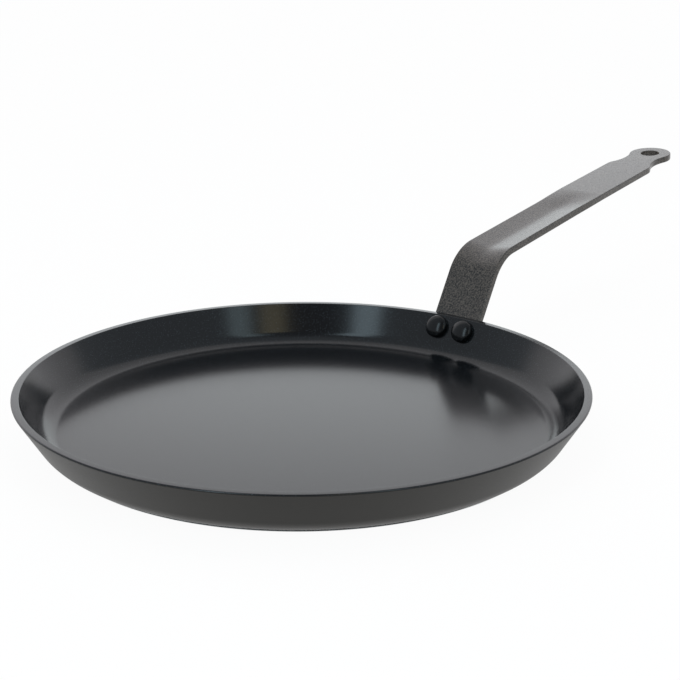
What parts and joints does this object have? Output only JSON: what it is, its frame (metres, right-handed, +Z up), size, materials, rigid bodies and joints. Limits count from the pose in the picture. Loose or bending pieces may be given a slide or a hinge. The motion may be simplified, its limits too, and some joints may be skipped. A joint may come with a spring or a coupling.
{
  "type": "crepe pan",
  "caption": "Shallow round crepe pan with a flat base and flaring wall, riveted to a long bent steel strip handle that ends in a hanging hole.",
  "frame": {"origin": "centre of the underside of the base", "axes": "+Z up out of the pan, +X along the handle from the pan's axis to the hanging hole"},
  "size_m": [0.5599, 0.2988, 0.0867],
  "materials": {
    "coated_sheet": "satin non-stick coat",
    "coated_strip": "satin baked coat",
    "coated_rivet": "satin non-stick coat"
  },
  "bodies": {
    "root": {"pan_body": "coated_sheet", "handle": "coated_strip", "rivet_left": "coated_rivet", "rivet_right": "coated_rivet"}
  },
  "joints": []
}
